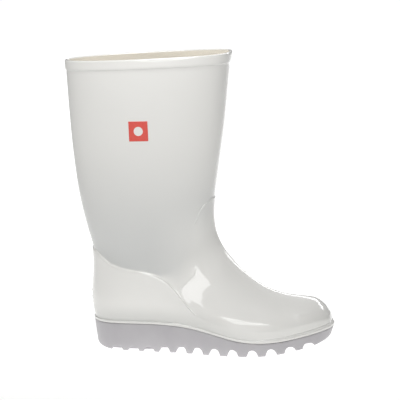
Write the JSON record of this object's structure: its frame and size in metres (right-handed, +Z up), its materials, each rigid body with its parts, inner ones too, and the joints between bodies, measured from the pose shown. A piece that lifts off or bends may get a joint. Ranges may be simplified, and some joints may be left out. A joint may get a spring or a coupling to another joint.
{
  "type": "rubber boot",
  "caption": "Knee-high moulded rubber boot, open at the collar, with a raised heel counter, welt lip and lugged sole; keeps a foot and lower leg dry.",
  "frame": {"origin": "middle of the boot's footprint box, on the floor", "axes": "+X towards the toe, +Y towards the inner side of the right foot, +Z up the shaft"},
  "size_m": [0.3366, 0.1032, 0.3723],
  "materials": {
    "white_pvc": "glossy moulded PVC",
    "grey_pvc": "satin moulded PVC",
    "knit_lining": "knitted polyester lining and footbed"
  },
  "bodies": {
    "root": {"upper": "white_pvc", "outsole": "grey_pvc", "insole": "knit_lining"}
  },
  "joints": []
}
